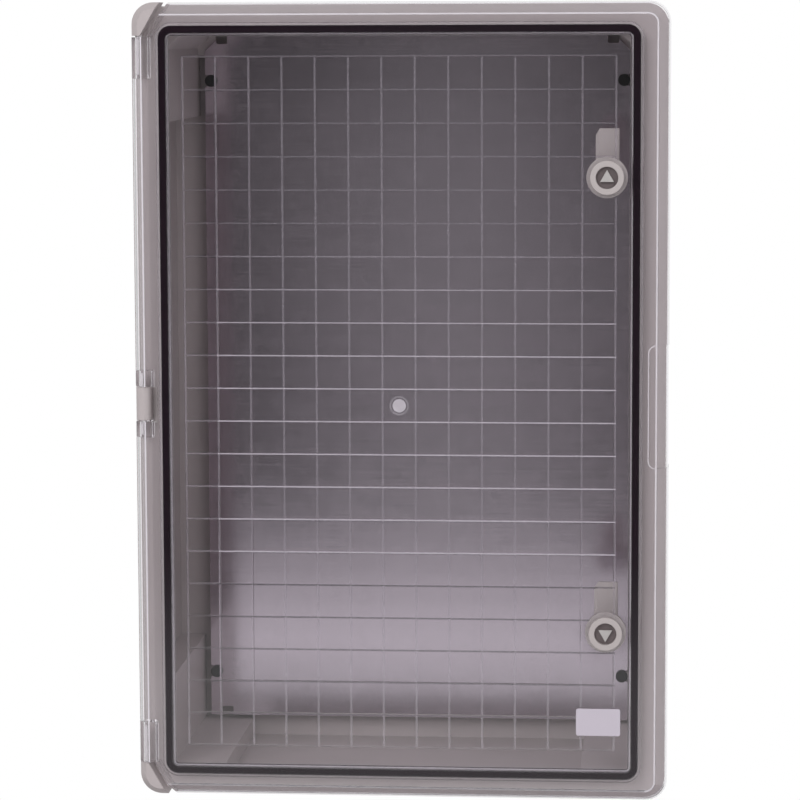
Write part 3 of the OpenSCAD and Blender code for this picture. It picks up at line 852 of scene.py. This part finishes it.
class CABINET_OT_ridge(Operator):
    """Lay lines of painted highlight on the door's ridge, beside its hinge and on the edge of the finger
    grip
    """

    bl_idname = "cabinet.ridge"
    bl_label = "Door ridge"

    corner_steps = 10
    on_ridge, on_foot, on_grip, on_hinge = range(4)
    # Densities of the painted highlights: strongest beside the hinge, weakest on the foot
    densities = {"highlight_ridge": 0.5, "highlight_foot": 0.2, "highlight_grip": 0.4, "highlight_hinge": 0.85}

    def execute(self, context):
        pane = context.scene.cabinet_pane
        color = settings().frost_color
        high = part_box("door_cover")[1]
        right = high.x - BAND_WIDTH - pane.ridge_crest / 2
        top = high.z - BAND_WIDTH - pane.ridge_crest / 4
        skin = DOOR_FRONT_Y - HAIR
        floor = skin + GRIP_DEPTH
        corner = self.arc(right, top, RIDGE_RADIUS)
        upper = [(RIDGE_LEFT, top)] + corner + [(right, GRIP_HALF)]
        lower = [(x, -z) for x, z in corner + [(right, GRIP_HALF)]]
        foot = [(RIDGE_LEFT, -top), (right - RIDGE_RADIUS, -top)]
        held = [(right, -GRIP_HALF), (right, GRIP_HALF)]
        turn = [(2 * (GRIP_LEFT + GRIP_RADIUS) - x, z)
                for x, z in self.arc(GRIP_LEFT + 2 * GRIP_RADIUS, GRIP_HALF, GRIP_RADIUS)]
        grip = turn + [(x, -z) for x, z in turn[::-1]]
        build = bmesh.new()
        for slot, points, width, depth in (
                (self.on_ridge, upper, pane.ridge_crest, skin),
                (self.on_ridge, lower, pane.ridge_crest, skin),
                (self.on_ridge, held, pane.ridge_crest, floor),
                (self.on_foot, foot, pane.ridge_crest, skin),
                (self.on_grip, grip, pane.grip_crest, skin)):
            self.strip(build, points, width, depth, slot)
        for side in (-1, 1):
            self.hinge_strip(build, side, pane.ridge_crest, skin, self.on_hinge)
        thicken(build, build.faces[:], -HAIR)
        finishes = [frosted_plastic(name, color, density) for name, density in self.densities.items()]
        new_piece("ridge_highlights", build, finishes, "door")
        return {"FINISHED"}

    def arc(self, x, z, radius):
        """Points of an upper right corner that touches x and z, from its top to its side"""
        angles = [math.pi / 2 * (1 - k / self.corner_steps) for k in range(self.corner_steps + 1)]
        return [(x - radius + radius * math.cos(a), z - radius + radius * math.sin(a)) for a in angles]

    def strip(self, build, points, width, depth, slot):
        """Flat strip of a width along points in X and Z"""
        rows = []
        for k, point in enumerate(points):
            along = Vector(points[min(k + 1, len(points) - 1)]) - Vector(points[max(k - 1, 0)])
            side = along.orthogonal().normalized() * width / 2
            rows.append([build.verts.new((place.x, depth, place.y))
                         for place in (Vector(point) - side, Vector(point) + side)])
        for first, second in zip(rows, rows[1:]):
            build.faces.new((first[0], first[1], second[1], second[0])).material_index = slot

    def hinge_strip(self, build, side, width, skin, slot):
        """Strip of painted highlight on the slope beside the hinge, between the knuckle openings"""
        places = [(x, skin + HINGE_SLOPE * (HINGE_EDGE_X - x))
                  for x in (HINGE_LINE_X, HINGE_LINE_X - width)]
        rows = [[build.verts.new((x, y, z)) for x, y in places]
                for z in (side * MIDDLE_HALF, side * EDGE_HALF)]
        build.faces.new((rows[0][0], rows[0][1], rows[1][1], rows[1][0])).material_index = slot


class CABINET_OT_gate(Operator):
    """Build the gate mark at the centre of the pane"""

    bl_idname = "cabinet.gate"
    bl_label = "Gate mark"

    segments = 48
    disc = ((1.0, 0), (0.92, 0.7), (0.7, 1.0), (0.3, 0.8), (0, 0.75))
    ring = ((-1.0, 0), (-0.5, 0.5), (0.5, 0.5), (1.0, 0))

    def execute(self, context):
        pane = context.scene.cabinet_pane
        build = bmesh.new()
        disc = [(pane.gate_radius * share, level) for share, level in self.disc]
        self.turned(build, disc, pane.gate_height, False)
        disc_faces = len(build.faces)
        ring = [(pane.gate_ring + RING_HALF * share, level) for share, level in self.ring]
        self.turned(build, ring, pane.gate_height, True)
        build.faces.ensure_lookup_table()
        for face in build.faces[disc_faces:]:
            face.material_index = 1
        color = settings().frost_color
        finishes = [frosted_plastic("frosted_gate", color, 0.36),
                    frosted_plastic("frosted_ring", color, 0.1)]
        smooth_piece(new_piece("gate_mark", build, finishes, "door"))
        return {"FINISHED"}

    def turned(self, build, profile, height, closed):
        """Turns a profile of radius and relative height about the gate's axis"""
        circles = []
        for radius, level in profile:
            y = PANE_BACK_Y + level * height
            if radius == 0:
                circles.append([build.verts.new((0, y, 0))])
                continue
            circles.append([build.verts.new((radius * math.cos(a), y, radius * math.sin(a)))
                            for a in (2 * math.pi * k / self.segments for k in range(self.segments))])
        for first, second in zip(circles, circles[1:]):
            ring_faces(build, first, second)
        if closed:
            ring_faces(build, circles[-1], circles[0])
        else:
            build.faces.new(circles[0])


class CABINET_OT_label(Operator):
    """Build the bare label on the front of the door"""

    bl_idname = "cabinet.label"
    bl_label = "Bare label"

    corner_steps = 8

    def execute(self, context):
        label = context.scene.cabinet_label
        build = bmesh.new()
        outline = rounded_outline(label.width / 2, label.height / 2, label.radius, self.corner_steps,
                                  (label.centre_x, label.centre_z))
        face = build.faces.new([build.verts.new((x, DOOR_FRONT_Y, z)) for x, z in outline])
        thicken(build, [face], -label.thickness)
        film = moulded_plastic(
            "label_film", settings().label_color, roughness=0.38, cloud=0.05, grain=900.0, relief=0.04)
        new_piece("bare_label", build, [film], "door")
        return {"FINISHED"}


class CABINET_OT_locks(Operator):
    """Dress the quarter-turn locks and their cams"""

    bl_idname = "cabinet.locks"
    bl_label = "Locks"

    def execute(self, context):
        finish = settings()
        plastic = moulded_plastic("lock_plastic", finish.lock_color, roughness=0.36, grain=2000.0)
        casting = cast_spindle("spindle_metal", finish.spindle_color, finish.key_color)
        plating = sheet_metal("zinc_steel", finish.steel_color, roughness=0.3)
        dress(lock_nodes("lock_housing", "lock_nut", "cam"), plastic)
        dress(lock_nodes("lock_spindle"), casting)
        dress(lock_nodes("lock_seal"), foam("seal_rubber", finish.gasket_color))
        dress(lock_nodes("cam_washer", "cam_screw"), plating)
        round_edges(lock_nodes("lock_housing"), width=0.0006, segments=3)
        round_edges(lock_nodes("lock_nut"), width=0.0005)
        round_edges(lock_nodes("cam"), width=0.0006)
        round_edges(lock_nodes("lock_spindle"), width=0.00025)
        round_edges(lock_nodes("cam_washer"), width=0.0002)
        round_edges(lock_nodes("cam_screw"), width=0.0006, segments=3)
        return {"FINISHED"}


class CABINET_OT_pins(Operator):
    """Dress the hinge pins"""

    bl_idname = "cabinet.pins"
    bl_label = "Hinge pins"

    def execute(self, context):
        pins = ["hinge_pin_top", "hinge_pin_middle", "hinge_pin_bottom"]
        dress(pins, moulded_plastic("pin_plastic", settings().pin_color, roughness=0.3, cloud=0.1))
        round_edges(pins, width=0.0004)
        return {"FINISHED"}


class CABINET_OT_stage(Operator):
    """Set up the camera, the world, the floor, the cards and the lights"""

    bl_idname = "cabinet.stage"
    bl_label = "Stage"

    key_size, key_place = 1.6, (-1.1, -2.8, 1.6)
    fill_size, fill_place = 1.4, (1.6, -1.9, 1.0)
    aim = (0, -0.1, 0)
    floor_size, floor_y = 3.6, -0.9
    floor_white, floor_glow = 0.86, 0.45
    flat, facing, beside = (0, 0, 0), (math.pi / 2, 0, 0), (math.pi / 2, 0, math.pi / 2)
    cards = (
        ("front_card", (3.0, 2.6), (-0.03, -1.2, 0), facing, (0.12, 0.186, 0.642), 0.42),
        ("left_card", (2.2, 3.4), (-1.7, 0.5, 0), beside, (0.62, 0.62, 0.62), 1.0),
        ("right_card", (2.2, 3.4), (1.7, 0.5, 0), beside, (0.36, 0.36, 0.36), 1.0),
        ("top_card", (3.4, 2.2), (0, 0.5, 1.5), flat, (0.5, 0.5, 0.5), 1.0),
        ("bottom_card", (3.4, 2.2), (0, 0.5, -1.1), flat, (0.05, 0.05, 0.05), 1.0),
    )
    top_end, middle_end = 0.30, -0.16
    foot_start, foot_end = -0.245, -0.455
    side_end = 0.27

    def execute(self, context):
        scene = context.scene
        stage = scene.cabinet_stage
        scene.view_settings.view_transform = "Standard"
        self.make_camera(scene, stage)
        self.make_world(scene, stage)
        self.make_floor(scene, stage)
        for card in self.cards:
            self.make_card(scene, *card)
        self.make_light(scene, "key", stage.key_power, self.key_size, self.key_place)
        self.make_light(scene, "fill", stage.fill_power, self.fill_size, self.fill_place)
        return {"FINISHED"}

    def make_camera(self, scene, stage):
        data = bpy.data.cameras.new("camera")
        data.sensor_width = 36
        data.lens = stage.lens
        camera = bpy.data.objects.new("camera", data)
        scene.collection.objects.link(camera)
        turn = Matrix.Rotation(stage.turn, 4, "Z")
        dip = Matrix.Rotation(math.pi / 2 - stage.dip, 4, "X")
        roll = Matrix.Rotation(stage.roll, 4, "Z")
        camera.matrix_world = Matrix.Translation(Vector(stage.camera_place)) @ turn @ dip @ roll
        scene.camera = camera

    def make_world(self, scene, stage):
        world = bpy.data.worlds.new("studio")
        scene.world = world
        world.use_nodes = True
        background = world.node_tree.nodes["Background"]
        set_inputs(background, Color=(1, 1, 1, 1))
        seen_level(world.node_tree, background.inputs["Strength"], unseen=stage.ambient, seen=1.0)

    def make_plane(self, scene, name, size, place, turn):
        mesh = bpy.data.meshes.new(name)
        build = bmesh.new()
        bmesh.ops.create_grid(build, x_segments=1, y_segments=1, size=0.5)
        bmesh.ops.scale(build, vec=(size[0], size[1], 1), verts=build.verts)
        build.to_mesh(mesh)
        build.free()
        plane = bpy.data.objects.new(name, mesh)
        plane.location = place
        plane.rotation_euler = turn
        scene.collection.objects.link(plane)
        return plane

    def make_floor(self, scene, stage):
        """Paper floor that is pale for the camera, for metal and for glass, and keeps the shadow"""
        place = (0, self.floor_y, CAD_BOX[0][2] - stage.floor_drop)
        floor = self.make_plane(scene, "floor", (self.floor_size, self.floor_size), place, self.flat)
        material, tree, shader = new_material("floor_paper")
        white = rgba([self.floor_white] * 3)
        set_inputs(shader, Base_Color=white, Roughness=0.8, Emission_Color=(1, 1, 1, 1))
        seen_level(tree, shader.inputs["Emission Strength"], unseen=0.0, seen=self.floor_glow)
        floor.data.materials.append(material)

    def make_card(self, scene, name, size, place, turn, levels, side):
        """Card that only reflections show, with a brightness for its top, middle and foot

        Above its foot it falls off to a share of that brightness at the sides.
        """
        top, middle, foot = levels
        card = self.make_plane(scene, name, size, place, turn)
        card.visible_camera = False
        card.visible_diffuse = False
        card.visible_shadow = False
        card.visible_transmission = False
        material, tree, _ = new_material(name)
        parts = object_place(tree)
        slope = add_node(tree, "ShaderNodeMapRange")
        set_inputs(slope, From_Min=self.top_end, From_Max=self.middle_end, To_Min=top, To_Max=middle)
        away = add_math(tree, "ABSOLUTE")
        fade = add_node(tree, "ShaderNodeMapRange", interpolation_type="SMOOTHSTEP")
        set_inputs(fade, From_Min=0.0, From_Max=self.side_end, To_Min=1.0, To_Max=side)
        dim = add_math(tree, "MULTIPLY")
        ramp = add_node(tree, "ShaderNodeMapRange", interpolation_type="SMOOTHSTEP")
        set_inputs(ramp, From_Min=self.foot_start, From_Max=self.foot_end, To_Max=foot)
        glow = add_node(tree, "ShaderNodeEmission")
        join(tree,
             (parts.outputs["Y"], slope.inputs["Value"]),
             (parts.outputs["X"], away.inputs[0]),
             (away.outputs["Value"], fade.inputs["Value"]),
             (slope.outputs["Result"], dim.inputs[0]),
             (fade.outputs["Result"], dim.inputs[1]),
             (dim.outputs["Value"], ramp.inputs["To Min"]),
             (parts.outputs["Y"], ramp.inputs["Value"]),
             (ramp.outputs["Result"], glow.inputs["Color"]),
             (glow.outputs["Emission"], tree.nodes["Material Output"].inputs["Surface"]))
        card.data.materials.append(material)

    def make_light(self, scene, name, power, size, place):
        data = bpy.data.lights.new(name, "AREA")
        data.energy = power
        data.size = size
        light = bpy.data.objects.new(name, data)
        light.location = place
        aim = Vector(self.aim) - Vector(place)
        light.rotation_euler = aim.to_track_quat("-Z", "Y").to_euler()
        scene.collection.objects.link(light)


# Add-on


OPERATORS = (
    CABINET_OT_base,
    CABINET_OT_plate,
    CABINET_OT_door,
    CABINET_OT_grid,
    CABINET_OT_ridge,
    CABINET_OT_gate,
    CABINET_OT_label,
    CABINET_OT_locks,
    CABINET_OT_pins,
    CABINET_OT_stage,
)
GROUPS = {
    "cabinet_finish": CABINET_PG_finish,
    "cabinet_pane": CABINET_PG_pane,
    "cabinet_label": CABINET_PG_label,
    "cabinet_stage": CABINET_PG_stage,
}


class CABINET_PT_panel(Panel):
    """Cabinet pieces and settings"""

    bl_label = "Electrical Cabinet"
    bl_idname = "CABINET_PT_panel"
    bl_space_type = "VIEW_3D"
    bl_region_type = "UI"
    bl_category = "Cabinet"

    def draw(self, context):
        layout = self.layout
        for operator in OPERATORS:
            layout.operator(operator.bl_idname)
        for group in GROUPS:
            box = layout.box()
            values = getattr(context.scene, group)
            for name in values.__annotations__:
                box.prop(values, name)


def register():
    for cls in (*GROUPS.values(), *OPERATORS, CABINET_PT_panel):
        bpy.utils.register_class(cls)
    for name, group in GROUPS.items():
        setattr(bpy.types.Scene, name, PointerProperty(type=group))


def unregister():
    for name in GROUPS:
        delattr(bpy.types.Scene, name)
    for cls in reversed((*GROUPS.values(), *OPERATORS, CABINET_PT_panel)):
        bpy.utils.unregister_class(cls)


def main():
    register()
    bpy.ops.cabinet.base()
    bpy.ops.cabinet.plate()
    bpy.ops.cabinet.door()
    bpy.ops.cabinet.grid()
    bpy.ops.cabinet.ridge()
    bpy.ops.cabinet.gate()
    bpy.ops.cabinet.label()
    bpy.ops.cabinet.locks()
    bpy.ops.cabinet.pins()
    bpy.ops.cabinet.stage()


if __name__ == "__main__":
    main()
